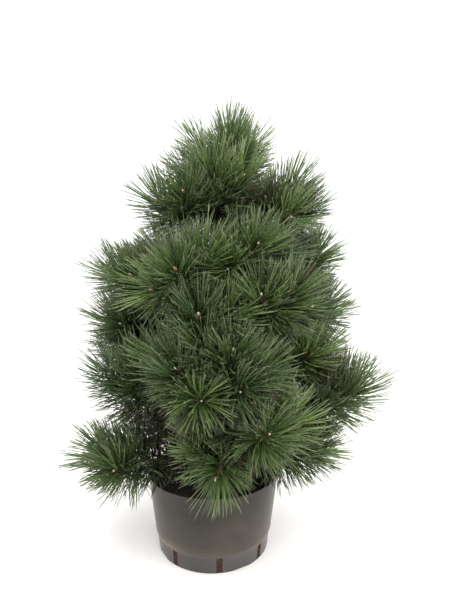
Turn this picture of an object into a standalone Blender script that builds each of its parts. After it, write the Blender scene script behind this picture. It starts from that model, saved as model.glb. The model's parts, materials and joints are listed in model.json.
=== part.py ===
"""A young Bosnian pine in a nursery pot: the pot, its soil, the trunk, the boughs and the masses of needles.

Metres, +Z up. The origin is the centre of the pot's flat underside. The front of the plant faces -Y.
A heading is counted in degrees from the front, positive towards +X, and a rise in degrees above the level.
"""

import math
import random

import bmesh
import bpy
import numpy as np
from mathutils import Matrix, Vector

# Gap that separate solids keep from each other
CLEAR = 0.0003

# Pot: a turned shell with a narrower foot, drain slots and shallow arches under its edge
POT_HEIGHT = 0.185
POT_FOOT_RADIUS = 0.134
POT_BAND_RADIUS = 0.138
POT_RIM_RADIUS = 0.159
POT_WALL = 0.0025
POT_FLOOR = 0.003
POT_BAND_HEIGHT = 0.043
POT_STEP = 0.003
POT_FACETS = 48
POT_FOOT_ROUND = 0.003
SHARP_ANGLE = 35.0
SLOT_COUNT = 8
SLOT_WIDTH = 0.0135
SLOT_HEIGHT = 0.034
SLOT_SILL = 0.0035
SLOT_CUT = 0.0175
SLOT_HEADING = 7.4
ARCH_COUNT = 4
ARCH_WIDTH = 0.036
ARCH_HEIGHT = 0.0055
ARCH_CUT = 0.0080
ARCH_HEADING = 30.0

# Soil: fills the pot to just under its rim, level round the trunk and a little lower at the wall
SOIL_TOP = 0.171
SOIL_FALL = 0.005
SOIL_LEVEL_RADIUS = 0.036
SOIL_BEND_RADIUS = 0.086
SOIL_BEND_FALL = 0.0015

# Trunk: leans away a little at the middle and back at the tip
TRUNK_TOP = 0.846
TRUNK_FOOT_RADIUS = 0.0170
TRUNK_NECK_RADIUS = 0.0125
TRUNK_NECK_HEIGHT = 0.800
TRUNK_TIP_RADIUS = 0.0068
FLARE = 0.008
FLARE_HEIGHT = 0.014
LEAN = 0.028
LEAN_POWER = 5
SWAY = 0.007
SWAY_BACK = 0.0049
TRUNK_SIDES = 9
TRUNK_RINGS = 15
RING_POWER = 1.25

# Boughs
BOUGH_ROOT_RADIUS = 0.0072
BOUGH_TIP_RADIUS = 0.0046
TOP_ROOT_RADIUS = 0.0058
BOUGH_SIDES = 6
BOUGH_RINGS = 6
BOW = 0.36
CURVE_STEPS = 60
STAGGER = 0.017

# Shoots: each mass is a stem that ends in one main shoot, with side shoots where this year's growth began
SHOOT_LENGTH = 0.105
SIDE_LENGTH = 0.102
STEM_LENGTH = 0.055
STEM_SHARE = 0.4
STEM_BARE = 0.008
STEM_POINTS = 40
SIDE_BARE = 0.016
SIDE_VARY = 0.07
TURN_VARY = 6.0
SPREAD = 45.0
SIDE_LIFT = 0.55
CORE_RADIUS = 0.0056
CORE_TIP_RADIUS = 0.0036
CORE_SIDES = 3
RING_TWIST = 37.0
RING_STEP = 0.0120
BUD_LENGTH = 0.013

# Needles: each one on the core stands for a spray
NEEDLE_LENGTH = 0.094
NEEDLE_VARY = 0.10
NEEDLE_ROOT_ANGLE = 76.0
NEEDLE_TIP_ANGLE = 20.0
NEEDLE_OPEN_LENGTH = 0.095
NEEDLE_OPEN_POWER = 0.55
NEEDLE_TURN_VARY = 5.0
NEEDLE_LIFT = 0.22
NEEDLE_TESTS = 19
NEEDLE_FIRST = 0.14
NEEDLE_LEAST = 0.34
END_SHARE = 0.7
SPACE_MARGIN = 0.0014
LIMB_MARGIN = 0.0015
SPACE_POINTS = 6
SEED = 23

# A tier is a whorl of boughs. In front each bough is the heading, reach and height of its bud, the rise of
# its end, the turn of its end to the right, and the turns of its side shoots about it: 0 is on its left,
# 90 above it. Behind, the boughs share a range of headings evenly and differ by chance.
TIERS = (
    dict(height=0.205, launch=14, root=BOUGH_ROOT_RADIUS, front=(
        (-67, 0.281, 0.266, 24, -10, (205, -20)),
        (3, 0.232, 0.264, -42, -38, (125, 172)),
        (62, 0.268, 0.288, 24, 8, (0, 180)),
    ), back=(2, 122, 216, 0.250, 0.262, 32, (0, 90, 180))),
    dict(height=0.290, launch=27, root=BOUGH_ROOT_RADIUS, front=(
        (-52, 0.268, 0.458, 42, 18, (40,)),
        (22, 0.302, 0.374, 38, -4, (5, 70)),
        (68, 0.349, 0.424, 54, 8, (20,)),
    ), back=(1, 172, 172, 0.275, 0.375, 45, (0, 90, 180))),
    dict(height=0.400, launch=18, root=BOUGH_ROOT_RADIUS, front=(
        (-13, 0.270, 0.492, 42, -14, (-55, 150)),
        (10, 0.266, 0.527, 58, 0, (-88, -35, 150)),
        (74, 0.262, 0.500, 55, 4, (0, 180)),
    ), back=(2, 132, 246, 0.262, 0.480, 50, (0, 90, 180))),
    dict(height=0.520, launch=22, root=BOUGH_ROOT_RADIUS, front=(
        (-80, 0.238, 0.562, 42, 0, (0, 180)),
        (-4, 0.258, 0.594, 34, 0, (0,)),
        (39, 0.262, 0.638, 58, 0, (180, -30)),
    ), back=(2, 98, 192, 0.284, 0.598, 50, (0, 90, 180))),
    dict(height=0.640, launch=28, root=TOP_ROOT_RADIUS, front=(
        (-70, 0.235, 0.668, 42, -6, (0, 180)),
        (-15, 0.244, 0.678, 44, 0, (28, 215)),
        (25, 0.226, 0.727, 48, 0, (-5, 222)),
    ), back=(2, 100, 222, 0.252, 0.706, 56, (0, 90, 180))),
    dict(height=0.762, launch=40, root=TOP_ROOT_RADIUS, front=(
        (-58, 0.143, 0.830, 48, -10, (10,)),
        (2, 0.108, 0.892, 62, -8, (0, 158)),
        (77, 0.218, 0.812, 56, 0, (90, 200)),
    ), back=(1, 180, 180, 0.140, 0.862, 60, (0, 180))),
)
LEADER_BUD = Vector((0.007, 0.0, 0.146))
LEADER_END = Vector((0.1, 0.0, 1.0))
LEADER_TURNS = (90, 190, 282)
BUD_SPREAD = dict(heading=5.0, reach=0.010, height=0.012)


def heading_vector(heading, rise=0.0):
    """Unit vector at a heading and a rise."""
    turn, lift = math.radians(heading - 90.0), math.radians(rise)
    return Vector((math.cos(turn) * math.cos(lift), math.sin(turn) * math.cos(lift), math.sin(lift)))


def trunk_axis(height):
    """Point on the trunk's centre line."""
    share = (height - SOIL_TOP) / (TRUNK_TOP - SOIL_TOP)
    x = LEAN * share**LEAN_POWER - SWAY * math.sin(math.pi * share)
    y = SWAY_BACK * math.sin(2 * math.pi * share)
    return Vector((x, y, height))


def trunk_radius(height):
    """Radius of the trunk, with the flare at its foot and the quick taper above its neck."""
    if height < TRUNK_NECK_HEIGHT:
        share = (height - SOIL_TOP) / (TRUNK_NECK_HEIGHT - SOIL_TOP)
        radius = TRUNK_FOOT_RADIUS + (TRUNK_NECK_RADIUS - TRUNK_FOOT_RADIUS) * share
    else:
        share = (height - TRUNK_NECK_HEIGHT) / (TRUNK_TOP - TRUNK_NECK_HEIGHT)
        radius = TRUNK_NECK_RADIUS + (TRUNK_TIP_RADIUS - TRUNK_NECK_RADIUS) * share
    return radius + FLARE * math.exp((SOIL_TOP - height) / FLARE_HEIGHT)


def lengths_along(points):
    """Distance of each point of a polyline from its start."""
    run = [0.0]
    for a, b in zip(points, points[1:]):
        run.append(run[-1] + (b - a).length)
    return run


def stretch(points, start, end, count):
    """Evenly spaced points on a polyline between two distances from its start."""
    run = lengths_along(points)
    found = []
    for i in range(count):
        distance = start + (end - start) * i / (count - 1)
        j = 1
        while j < len(run) - 1 and run[j] < distance:
            j += 1
        share = (distance - run[j - 1]) / (run[j] - run[j - 1])
        found.append(points[j - 1].lerp(points[j], min(max(share, 0.0), 1.0)))
    return found


def curve(start, leave, arrive, end):
    """Fine points of a smooth limb that leaves and arrives in given directions."""
    reach = (end - start).length * BOW
    p1, p2 = start + leave * reach, end - arrive * reach
    points = []
    for i in range(CURVE_STEPS + 1):
        t = i / CURVE_STEPS
        s = 1 - t
        points.append(start * s**3 + p1 * (3 * t * s * s) + p2 * (3 * t * t * s) + end * t**3)
    return points


def side_shoot(fork, ahead, turn, length):
    """Fine points of a side shoot that leaves a fork, turned about the direction ahead."""
    left = Vector((0, 0, 1)).cross(ahead).normalized()
    above = ahead.cross(left)
    angle, spread = math.radians(turn), math.radians(SPREAD)
    out = left * math.cos(angle) + above * math.sin(angle)
    leave = ahead * math.cos(spread) + out * math.sin(spread)
    arrive = (leave + Vector((0, 0, SIDE_LIFT))).normalized()
    end = fork + (leave + arrive).normalized() * length
    return curve(fork, leave, arrive, end)


def grow_mass(name, path, start, turns, draw):
    """The shoots of one mass: the stem with its main shoot, then the side shoots at the fork."""
    whole = lengths_along(path)[-1]
    fork_at = whole - SHOOT_LENGTH
    fork, past = stretch(path, fork_at, fork_at + SIDE_BARE, 2)
    shoots = [dict(mass=name, bare=STEM_BARE, points=stretch(path, start, whole, STEM_POINTS))]
    for turn in turns:
        length = SIDE_LENGTH * draw.uniform(1 - SIDE_VARY, 1 + SIDE_VARY)
        turn += draw.uniform(-1, 1) * TURN_VARY
        points = side_shoot(fork, (past - fork).normalized(), turn, length)
        shoots.append(dict(mass=name, bare=SIDE_BARE, points=points))
    return shoots


def tier_rows(tier, draw):
    """The boughs of one tier, in front and behind."""
    rows = list(tier["front"])
    count, first, last, reach, height, rise, turns = tier["back"]
    for i in range(count):
        share = i / max(count - 1, 1)
        rows.append((
            first + (last - first) * share + draw.uniform(-1, 1) * BUD_SPREAD["heading"],
            reach + draw.uniform(-1, 1) * BUD_SPREAD["reach"],
            height + draw.uniform(-1, 1) * BUD_SPREAD["height"],
            rise, 0, turns,
        ))
    return rows


def grow():
    """All limbs: boughs as name, points and root radius, and shoots grouped by their mass."""
    draw = random.Random(SEED)
    boughs, shoots = [], []
    for number, tier in enumerate(TIERS, 1):
        for i, (heading, reach, height, rise, turn, turns) in enumerate(tier_rows(tier, draw)):
            letter = "abcdefgh"[i]
            root = trunk_axis(tier["height"] + STAGGER * (i % 3))
            bud = heading_vector(heading) * reach + Vector((0, 0, height))
            away = bud - root
            leave_heading = math.degrees(math.atan2(away.x, -away.y))
            leave = heading_vector(leave_heading, tier["launch"])
            path = curve(root, leave, heading_vector(heading + turn, rise), bud)
            whole = lengths_along(path)[-1]
            split = whole - SHOOT_LENGTH - min(STEM_LENGTH, STEM_SHARE * (whole - SHOOT_LENGTH))
            boughs.append(dict(
                name=f"tier{number}_bough_{letter}",
                points=stretch(path, 0, split, BOUGH_RINGS),
                root=tier["root"],
            ))
            shoots += grow_mass(f"tier{number}_foliage_{letter}", path, split + CLEAR, turns, draw)
    top = trunk_axis(TRUNK_TOP)
    bud = top + LEADER_BUD
    path = curve(top, Vector((0, 0, 1)), LEADER_END.normalized(), bud)
    shoots += grow_mass("leader_foliage", path, CLEAR, LEADER_TURNS, draw)
    return boughs, shoots


def carried_frames(points, twist=0.0):
    """Tangent and two cross directions at each point, carried along without rolling but for the twist."""
    frames = []
    tangent = (points[1] - points[0]).normalized()
    across = tangent.orthogonal().normalized()
    for i in range(len(points)):
        before, after = points[max(i - 1, 0)], points[min(i + 1, len(points) - 1)]
        tangent = (after - before).normalized()
        across = (across - tangent * across.dot(tangent)).normalized()
        turned = Matrix.Rotation(math.radians(twist * i), 3, tangent) @ across
        frames.append((tangent, turned, tangent.cross(turned)))
    return frames


def ring_points(centre, frame, radius, sides):
    """Corners of a ring round a limb."""
    corners = []
    for k in range(sides):
        angle = 2 * math.pi * k / sides
        corners.append(centre + (frame[1] * math.cos(angle) + frame[2] * math.sin(angle)) * radius)
    return corners


def tube(points, radii, sides, level_ends=False):
    """Vertices and faces of a closed tapering limb."""
    frames = carried_frames(points)
    if level_ends:
        flat = (Vector((0, 0, 1)), Vector((1, 0, 0)), Vector((0, 1, 0)))
        frames = [flat for frame in frames]
    verts, faces = [], []
    for centre, frame, radius in zip(points, frames, radii):
        verts += ring_points(centre, frame, radius, sides)
    for r in range(len(points) - 1):
        for k in range(sides):
            a, b = r * sides + k, r * sides + (k + 1) % sides
            faces.append((a, b, b + sides, a + sides))
    faces.append(tuple(reversed(range(sides))))
    faces.append(tuple(range(len(verts) - sides, len(verts))))
    return verts, faces


class Space:
    """Who owns the room round every limb, so that each mass keeps to its own."""

    def __init__(self, boughs, shoots):
        starts, ends, owners = [], [], []
        for number, shoot in enumerate(shoots):
            axis = stretch(shoot["points"], 0, lengths_along(shoot["points"])[-1], SPACE_POINTS)
            starts += axis[:-1]
            ends += axis[1:]
            owners += [number] * (len(axis) - 1)
        self.starts, self.ends = np.array(starts), np.array(ends)
        self.owners = np.array(owners)
        limb_starts, limb_ends, limb_radii = [], [], []
        for bough in boughs:
            limb_starts += bough["points"][:-1]
            limb_ends += bough["points"][1:]
            limb_radii += [bough["root"]] * (len(bough["points"]) - 1)
        heights = np.linspace(SOIL_TOP, TRUNK_TOP, TRUNK_RINGS)
        for low, high in zip(heights, heights[1:]):
            limb_starts.append(trunk_axis(low))
            limb_ends.append(trunk_axis(high))
            limb_radii.append(trunk_radius(low))
        self.limb_starts, self.limb_ends = np.array(limb_starts), np.array(limb_ends)
        self.limb_radii = np.array(limb_radii)

    @staticmethod
    def distances(points, starts, ends):
        """Distance of each point from each straight stretch."""
        along = ends - starts
        offset = points[:, None, :] - starts[None]
        share = np.clip((offset * along).sum(2) / (along * along).sum(1), 0, 1)
        return np.linalg.norm(offset - share[:, :, None] * along, axis=2)

    def free(self, points, owner):
        """Whether each point is in the owner's room and clear of limbs, pot and soil."""
        to_shoots = self.distances(points, self.starts, self.ends)
        mine = self.owners == owner
        nearest_mine = to_shoots[:, mine].min(1)
        nearest_other = to_shoots[:, ~mine].min(1)
        to_limbs = self.distances(points, self.limb_starts, self.limb_ends) - self.limb_radii
        ok = nearest_other - nearest_mine > SPACE_MARGIN
        ok &= to_limbs.min(1) > LIMB_MARGIN
        out = np.hypot(points[:, 0], points[:, 1])
        over_pot = points[:, 2] > POT_HEIGHT + LIMB_MARGIN
        beside_pot = out > POT_RIM_RADIUS + LIMB_MARGIN
        return ok & (over_pot | beside_pot)


def needle_angle(from_bud):
    """Angle between a needle and its shoot, wider away from the bud."""
    share = min(from_bud / NEEDLE_OPEN_LENGTH, 1.0)
    return NEEDLE_TIP_ANGLE + (NEEDLE_ROOT_ANGLE - NEEDLE_TIP_ANGLE) * share**NEEDLE_OPEN_POWER


def needle_aim(corners, centre, tangent, from_bud, draw):
    """Direction of the needle that stands on a side face of a shoot, lifted a little to the light."""
    out = sum(corners, Vector()) / len(corners) - centre
    out = (out - tangent * out.dot(tangent)).normalized()
    angle = math.radians(needle_angle(from_bud) + draw.uniform(-1, 1) * NEEDLE_TURN_VARY)
    aim = tangent * math.cos(angle) + out * math.sin(angle)
    return (aim + Vector((0, 0, NEEDLE_LIFT))).normalized()


def needle_tip(corners, aim, space, owner, draw):
    """Tip of the needle that a face is drawn out to, or None where it has no room."""
    root = sum(corners, Vector()) / len(corners)
    tip = root + aim * NEEDLE_LENGTH * draw.uniform(1 - NEEDLE_VARY, 1 + NEEDLE_VARY)
    steps = np.linspace(NEEDLE_FIRST, 1, NEEDLE_TESTS)
    points = np.array([corner.lerp(tip, t) for t in steps for corner in corners])
    free = space.free(points, owner).reshape(len(steps), len(corners)).all(1)
    kept = 0.0
    for t, ok in zip(steps, free):
        if not ok:
            break
        kept = t
    if kept < NEEDLE_LEAST:
        return None
    return root.lerp(tip, kept)


def brush(shoot, owner, space, draw):
    """Vertices and faces of one shoot: a slim core whose sides are drawn out into needles."""
    run = lengths_along(shoot["points"])[-1]
    clad = run - shoot["bare"] - BUD_LENGTH
    rings = max(round(clad / RING_STEP), 2)
    stations = [0.0] + [shoot["bare"] + clad * i / rings for i in range(rings + 1)]
    points = [stretch(shoot["points"], s, s, 2)[0] for s in stations]
    frames = carried_frames(points, RING_TWIST)
    verts, faces = [], []
    for s, centre, frame in zip(stations, points, frames):
        radius = CORE_RADIUS + (CORE_TIP_RADIUS - CORE_RADIUS) * s / run
        verts += ring_points(centre, frame, radius, CORE_SIDES)
    for r in range(len(stations) - 1):
        for k in range(CORE_SIDES):
            a, b = r * CORE_SIDES + k, r * CORE_SIDES + (k + 1) % CORE_SIDES
            quad = (a, b, b + CORE_SIDES, a + CORE_SIDES)
            tip = None
            if r > 0:
                middle = (points[r] + points[r + 1]) / 2
                from_bud = run - (stations[r] + stations[r + 1]) / 2
                corners = [verts[v] for v in quad]
                aim = needle_aim(corners, middle, frames[r][0], from_bud, draw)
                tip = needle_tip(corners, aim, space, owner, draw)
            if tip is None:
                faces += [(quad[0], quad[1], quad[2]), (quad[0], quad[2], quad[3])]
                continue
            verts.append(tip)
            faces += [(quad[j], quad[(j + 1) % 4], len(verts) - 1) for j in range(4)]
    last = (len(stations) - 1) * CORE_SIDES
    ahead = needle_tip(verts[last:last + CORE_SIDES], frames[-1][0] * END_SHARE, space, owner, draw)
    verts.append(ahead or shoot["points"][-1])
    for k in range(CORE_SIDES):
        faces.append((last + k, last + (k + 1) % CORE_SIDES, len(verts) - 1))
    faces.append(tuple(reversed(range(CORE_SIDES))))
    return verts, faces


def principled(name, colour, roughness):
    """A plain material of one colour."""
    material = bpy.data.materials.new(name)
    material.use_nodes = True
    shader = material.node_tree.nodes["Principled BSDF"]
    shader.inputs["Base Color"].default_value = (*colour, 1)
    shader.inputs["Roughness"].default_value = roughness
    shader.inputs["Metallic"].default_value = 0.0
    material.diffuse_color = (*colour, 1)
    return material


def add_object(name, verts, faces, material, collection=None):
    """A mesh object from vertices and faces."""
    mesh = bpy.data.meshes.new(name)
    mesh.from_pydata([tuple(v) for v in verts], [], faces)
    mesh.update()
    mesh.materials.append(material)
    made = bpy.data.objects.new(name, mesh)
    (collection or bpy.context.scene.collection).objects.link(made)
    return made


def as_cutter(made):
    """Hide an object that only cuts others."""
    made.hide_render = True
    made.display_type = "WIRE"
    return made


def boolean(made, operation, other=None, collection=None):
    """Add an exact Boolean with one object or with a collection."""
    cut = made.modifiers.new(operation.title(), "BOOLEAN")
    cut.operation = operation
    cut.solver = "EXACT"
    if collection is None:
        cut.object = other
    else:
        cut.operand_type = "COLLECTION"
        cut.collection = collection
    return cut


def turned(name, profile, facets, material):
    """A solid turned about +Z from its outer, closed profile of (radius, height) points."""
    verts, faces = [], []
    rings = []
    for radius, height in profile:
        if radius == 0:
            rings.append([len(verts)] * facets)
            verts.append((0, 0, height))
            continue
        rings.append(list(range(len(verts), len(verts) + facets)))
        for k in range(facets):
            angle = 2 * math.pi * k / facets
            verts.append((radius * math.cos(angle), radius * math.sin(angle), height))
    for low, high in zip(rings, rings[1:]):
        for k in range(facets):
            n = (k + 1) % facets
            corners = [low[k], low[n], high[n], high[k]]
            faces.append(tuple(dict.fromkeys(corners)))
    made = add_object(name, verts, faces, material)
    made.data.shade_smooth()
    made.data.set_sharp_from_angle(angle=math.radians(SHARP_ANGLE))
    return made


def pot_radius(height):
    """Outer radius of the pot's wall above its foot band."""
    share = (height - POT_BAND_HEIGHT) / (POT_HEIGHT - POT_BAND_HEIGHT)
    low = POT_BAND_RADIUS + POT_STEP
    return low + (POT_RIM_RADIUS - low) * share


def block(name, size, place, heading, material):
    """A box that stands at a place and is turned to a heading."""
    verts = []
    for x, y, z in ((-1, -1, -1), (1, -1, -1), (1, 1, -1), (-1, 1, -1),
                    (-1, -1, 1), (1, -1, 1), (1, 1, 1), (-1, 1, 1)):
        verts.append((x * size[0] / 2, y * size[1] / 2, z * size[2] / 2))
    faces = [(3, 2, 1, 0), (4, 5, 6, 7), (0, 1, 5, 4), (1, 2, 6, 5), (2, 3, 7, 6), (3, 0, 4, 7)]
    turn = Matrix.Rotation(math.radians(heading), 4, "Z")
    spot = Matrix.Translation(place)
    return add_object(name, [spot @ turn @ Vector(v) for v in verts], faces, material)


def make_pot(material):
    """The pot: a thin turned shell, with its slots and arches cut in one Boolean."""
    inner = POT_WALL
    profile = [
        (0, 0), (POT_FOOT_RADIUS - POT_FOOT_ROUND, 0), (POT_FOOT_RADIUS, POT_FOOT_ROUND),
        (POT_BAND_RADIUS, POT_BAND_HEIGHT - POT_STEP), (pot_radius(POT_BAND_HEIGHT), POT_BAND_HEIGHT),
        (POT_RIM_RADIUS, POT_HEIGHT), (POT_RIM_RADIUS - inner, POT_HEIGHT),
        (pot_radius(POT_BAND_HEIGHT) - inner, POT_BAND_HEIGHT),
        (POT_BAND_RADIUS - inner, POT_BAND_HEIGHT - POT_STEP),
        (POT_FOOT_RADIUS - inner, POT_FLOOR), (0, POT_FLOOR),
    ]
    pot = turned("pot", profile, POT_FACETS, material)
    cutters = bpy.data.collections.new("pot_cutters")
    bpy.context.scene.collection.children.link(cutters)
    for i in range(SLOT_COUNT):
        heading = SLOT_HEADING + 360.0 * i / SLOT_COUNT
        place = heading_vector(heading) * POT_BAND_RADIUS + Vector((0, 0, SLOT_SILL + SLOT_HEIGHT / 2))
        size = (SLOT_WIDTH, SLOT_CUT, SLOT_HEIGHT)
        move_to(as_cutter(block(f"slot_cutter_{i}", size, place, heading, material)), cutters)
    for i in range(ARCH_COUNT):
        heading = ARCH_HEADING + 360.0 * i / ARCH_COUNT
        place = heading_vector(heading) * POT_FOOT_RADIUS
        size = (ARCH_WIDTH, ARCH_CUT, 2 * ARCH_HEIGHT)
        move_to(as_cutter(block(f"arch_cutter_{i}", size, place, heading, material)), cutters)
    boolean(pot, "DIFFERENCE", collection=cutters)
    return pot


def move_to(made, collection):
    """Keep an object in another collection."""
    bpy.context.scene.collection.objects.unlink(made)
    collection.objects.link(made)


def make_soil(material):
    """The soil, turned to the inside of the pot."""
    gap = POT_WALL + CLEAR
    wall_top = SOIL_TOP - SOIL_FALL
    floor = POT_FLOOR + CLEAR
    profile = [
        (0, floor), (POT_FOOT_RADIUS - gap, floor),
        (POT_BAND_RADIUS - gap, POT_BAND_HEIGHT - POT_STEP),
        (pot_radius(POT_BAND_HEIGHT) - gap, POT_BAND_HEIGHT),
        (pot_radius(wall_top) - gap, wall_top),
        (SOIL_BEND_RADIUS, SOIL_TOP - CLEAR - SOIL_BEND_FALL),
        (SOIL_LEVEL_RADIUS, SOIL_TOP - CLEAR), (0, SOIL_TOP - CLEAR),
    ]
    return turned("soil", profile, POT_FACETS, material)


def make_trunk(name, extra, material):
    """The trunk, or with extra the room that boughs leave round it."""
    share = np.linspace(0, 1, TRUNK_RINGS)
    heights = SOIL_TOP + (TRUNK_TOP - SOIL_TOP) * share**RING_POWER
    points = [trunk_axis(h) for h in heights]
    grown = extra / math.cos(math.pi / TRUNK_SIDES)
    radii = [trunk_radius(h) + grown for h in heights]
    verts, faces = tube(points, radii, TRUNK_SIDES, level_ends=True)
    return add_object(name, verts, faces, material)


def make_bough(bough, room, material):
    """One tapering bough, cut clear of the trunk."""
    count = len(bough["points"])
    radii = []
    for i in range(count):
        share = i / (count - 1)
        radii.append(bough["root"] + (BOUGH_TIP_RADIUS - bough["root"]) * share)
    verts, faces = tube(bough["points"], radii, BOUGH_SIDES)
    made = add_object(bough["name"], verts, faces, material)
    boolean(made, "DIFFERENCE", other=room)
    return made


def keep_outer_shell(mesh):
    """Delete all but the largest shell, which fills the pockets that crossing shoots close off."""
    work = bmesh.new()
    work.from_mesh(mesh)
    left = set(work.verts)
    shells = []
    while left:
        shell, edge_of_shell = set(), [left.pop()]
        while edge_of_shell:
            vert = edge_of_shell.pop()
            shell.add(vert)
            for edge in vert.link_edges:
                other = edge.other_vert(vert)
                if other in left:
                    left.remove(other)
                    edge_of_shell.append(other)
        shells.append(shell)
    shells.sort(key=len)
    inner = [vert for shell in shells[:-1] for vert in shell]
    bmesh.ops.delete(work, geom=inner, context="VERTS")
    work.to_mesh(mesh)
    work.free()


def make_mass(name, members, shoots, space, draw, material):
    """One mass of foliage: its shoots joined by one Boolean union."""
    loose = bpy.data.collections.new(name)
    bpy.context.scene.collection.children.link(loose)
    made = None
    for owner in members:
        verts, faces = brush(shoots[owner], owner, space, draw)
        if made is None:
            made = add_object(name, verts, faces, material)
        else:
            add_object(f"{name}_side", verts, faces, material, loose)
    join = boolean(made, "UNION", collection=loose)
    evaluated = made.evaluated_get(bpy.context.evaluated_depsgraph_get())
    joined = bpy.data.meshes.new_from_object(evaluated)
    made.modifiers.remove(join)
    keep_outer_shell(joined)
    made.data = joined
    for piece in list(loose.objects):
        bpy.data.objects.remove(piece)
    bpy.data.collections.remove(loose)
    return made


def main():
    for old in list(bpy.data.objects):
        bpy.data.objects.remove(old)
    bark = principled("bark", (0.16, 0.11, 0.08), 0.85)
    needles = principled("needles", (0.07, 0.16, 0.05), 0.55)
    plastic = principled("pot_plastic", (0.085, 0.083, 0.082), 0.45)
    compost = principled("compost", (0.022, 0.013, 0.011), 0.95)

    make_pot(plastic)
    make_soil(compost)
    make_trunk("trunk", 0, bark)
    room = as_cutter(make_trunk("trunk_room", CLEAR, bark))
    boughs, shoots = grow()
    for bough in boughs:
        make_bough(bough, room, bark)
    space = Space(boughs, shoots)
    draw = random.Random(SEED + 1)
    masses = {}
    for owner, shoot in enumerate(shoots):
        masses.setdefault(shoot["mass"], []).append(owner)
    for name, members in masses.items():
        make_mass(name, members, shoots, space, draw, needles)


main()
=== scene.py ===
# A young Bosnian pine in a nursery pot: bark, twigs, needles, buds, pot and compost over the solids
import json
import math
import random

import bpy
import numpy as np
from mathutils import Matrix, Vector

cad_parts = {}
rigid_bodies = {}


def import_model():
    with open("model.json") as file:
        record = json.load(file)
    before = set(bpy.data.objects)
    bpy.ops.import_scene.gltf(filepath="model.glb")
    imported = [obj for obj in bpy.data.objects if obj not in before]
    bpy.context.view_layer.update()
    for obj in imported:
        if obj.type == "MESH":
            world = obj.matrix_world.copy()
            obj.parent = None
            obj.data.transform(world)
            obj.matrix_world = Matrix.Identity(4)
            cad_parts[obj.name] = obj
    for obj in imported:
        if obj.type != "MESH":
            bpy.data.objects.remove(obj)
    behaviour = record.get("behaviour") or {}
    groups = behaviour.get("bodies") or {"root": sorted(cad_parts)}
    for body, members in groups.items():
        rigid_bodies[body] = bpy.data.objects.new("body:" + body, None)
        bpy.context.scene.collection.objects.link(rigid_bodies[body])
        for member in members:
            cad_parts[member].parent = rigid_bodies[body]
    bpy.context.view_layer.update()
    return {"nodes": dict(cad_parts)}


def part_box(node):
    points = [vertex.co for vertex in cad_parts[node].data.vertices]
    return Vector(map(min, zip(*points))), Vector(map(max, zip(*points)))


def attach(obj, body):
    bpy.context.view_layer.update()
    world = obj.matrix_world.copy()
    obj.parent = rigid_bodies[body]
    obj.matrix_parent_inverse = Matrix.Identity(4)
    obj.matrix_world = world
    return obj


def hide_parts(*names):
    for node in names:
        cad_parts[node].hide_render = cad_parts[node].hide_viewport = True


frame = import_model()
scene = bpy.context.scene
print("frame loaded:", len(frame["nodes"]), "nodes")

# The plant's skeleton, grown by the same rule as the solids; metres, headings in degrees from the front
trunk = {
    "foot": 0.171, "top": 0.846, "footRadius": 0.0170, "neckRadius": 0.0125, "neckHeight": 0.800,
    "tipRadius": 0.0068, "flare": 0.008, "flareHeight": 0.014, "lean": 0.028, "leanPower": 5,
    "sway": 0.007, "swayBack": 0.7, "rings": 90, "ringPower": 1.4,
}
limbs = {
    "rootRadius": 0.0072, "tipRadius": 0.0046, "topRootRadius": 0.0058, "bow": 0.36, "stagger": 0.017,
    "shootLength": 0.105, "sideLength": 0.102, "stemLength": 0.055, "spread": 45.0, "sideLift": 0.55,
    "sideBare": 0.016, "gap": 0.0003, "seed": 23, "headingPlay": 5.0, "reachPlay": 0.010,
    "heightPlay": 0.012, "lengthPlay": 0.07, "turnPlay": 6.0, "stemShare": 0.4, "stemBare": 0.008,
    "leaderBud": (0.007, 0.0, 0.146), "leaderEnd": (0.1, 0, 1), "leaderTurns": (90, 190, 282),
    "curveSteps": 60, "boughPoints": 12, "shootPoints": 40,
}
# heading, reach and height of each bud, rise and turn of the bough's end, turns of its side shoots
tiers = (
    {"height": 0.205, "launch": 14, "root": "rootRadius", "front": (
        (-67, 0.281, 0.266, 24, -10, (205, -20)),
        (3, 0.232, 0.264, -42, -38, (125, 172)),
        (62, 0.268, 0.288, 24, 8, (0, 180)),
    ), "back": (2, 122, 216, 0.250, 0.262, 32, (0, 90, 180))},
    {"height": 0.290, "launch": 27, "root": "rootRadius", "front": (
        (-52, 0.268, 0.458, 42, 18, (40,)),
        (22, 0.302, 0.374, 38, -4, (5, 70)),
        (68, 0.349, 0.424, 54, 8, (20,)),
    ), "back": (1, 172, 172, 0.275, 0.375, 45, (0, 90, 180))},
    {"height": 0.400, "launch": 18, "root": "rootRadius", "front": (
        (-13, 0.270, 0.492, 42, -14, (-55, 150)),
        (10, 0.266, 0.527, 58, 0, (-88, -35, 150)),
        (74, 0.262, 0.500, 55, 4, (0, 180)),
    ), "back": (2, 132, 246, 0.262, 0.480, 50, (0, 90, 180))},
    {"height": 0.520, "launch": 22, "root": "rootRadius", "front": (
        (-80, 0.238, 0.562, 42, 0, (0, 180)),
        (-4, 0.258, 0.594, 34, 0, (0,)),
        (39, 0.262, 0.638, 58, 0, (180, -30)),
    ), "back": (2, 98, 192, 0.284, 0.598, 50, (0, 90, 180))},
    {"height": 0.640, "launch": 28, "root": "topRootRadius", "front": (
        (-70, 0.235, 0.668, 42, -6, (0, 180)),
        (-15, 0.244, 0.678, 44, 0, (28, 215)),
        (25, 0.226, 0.727, 48, 0, (-5, 222)),
    ), "back": (2, 100, 222, 0.252, 0.706, 56, (0, 90, 180))},
    {"height": 0.762, "launch": 40, "root": "topRootRadius", "front": (
        (-58, 0.143, 0.830, 48, -10, (10,)),
        (2, 0.108, 0.892, 62, -8, (0, 158)),
        (77, 0.218, 0.812, 56, 0, (90, 200)),
    ), "back": (1, 180, 180, 0.140, 0.862, 60, (0, 180))},
)
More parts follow.
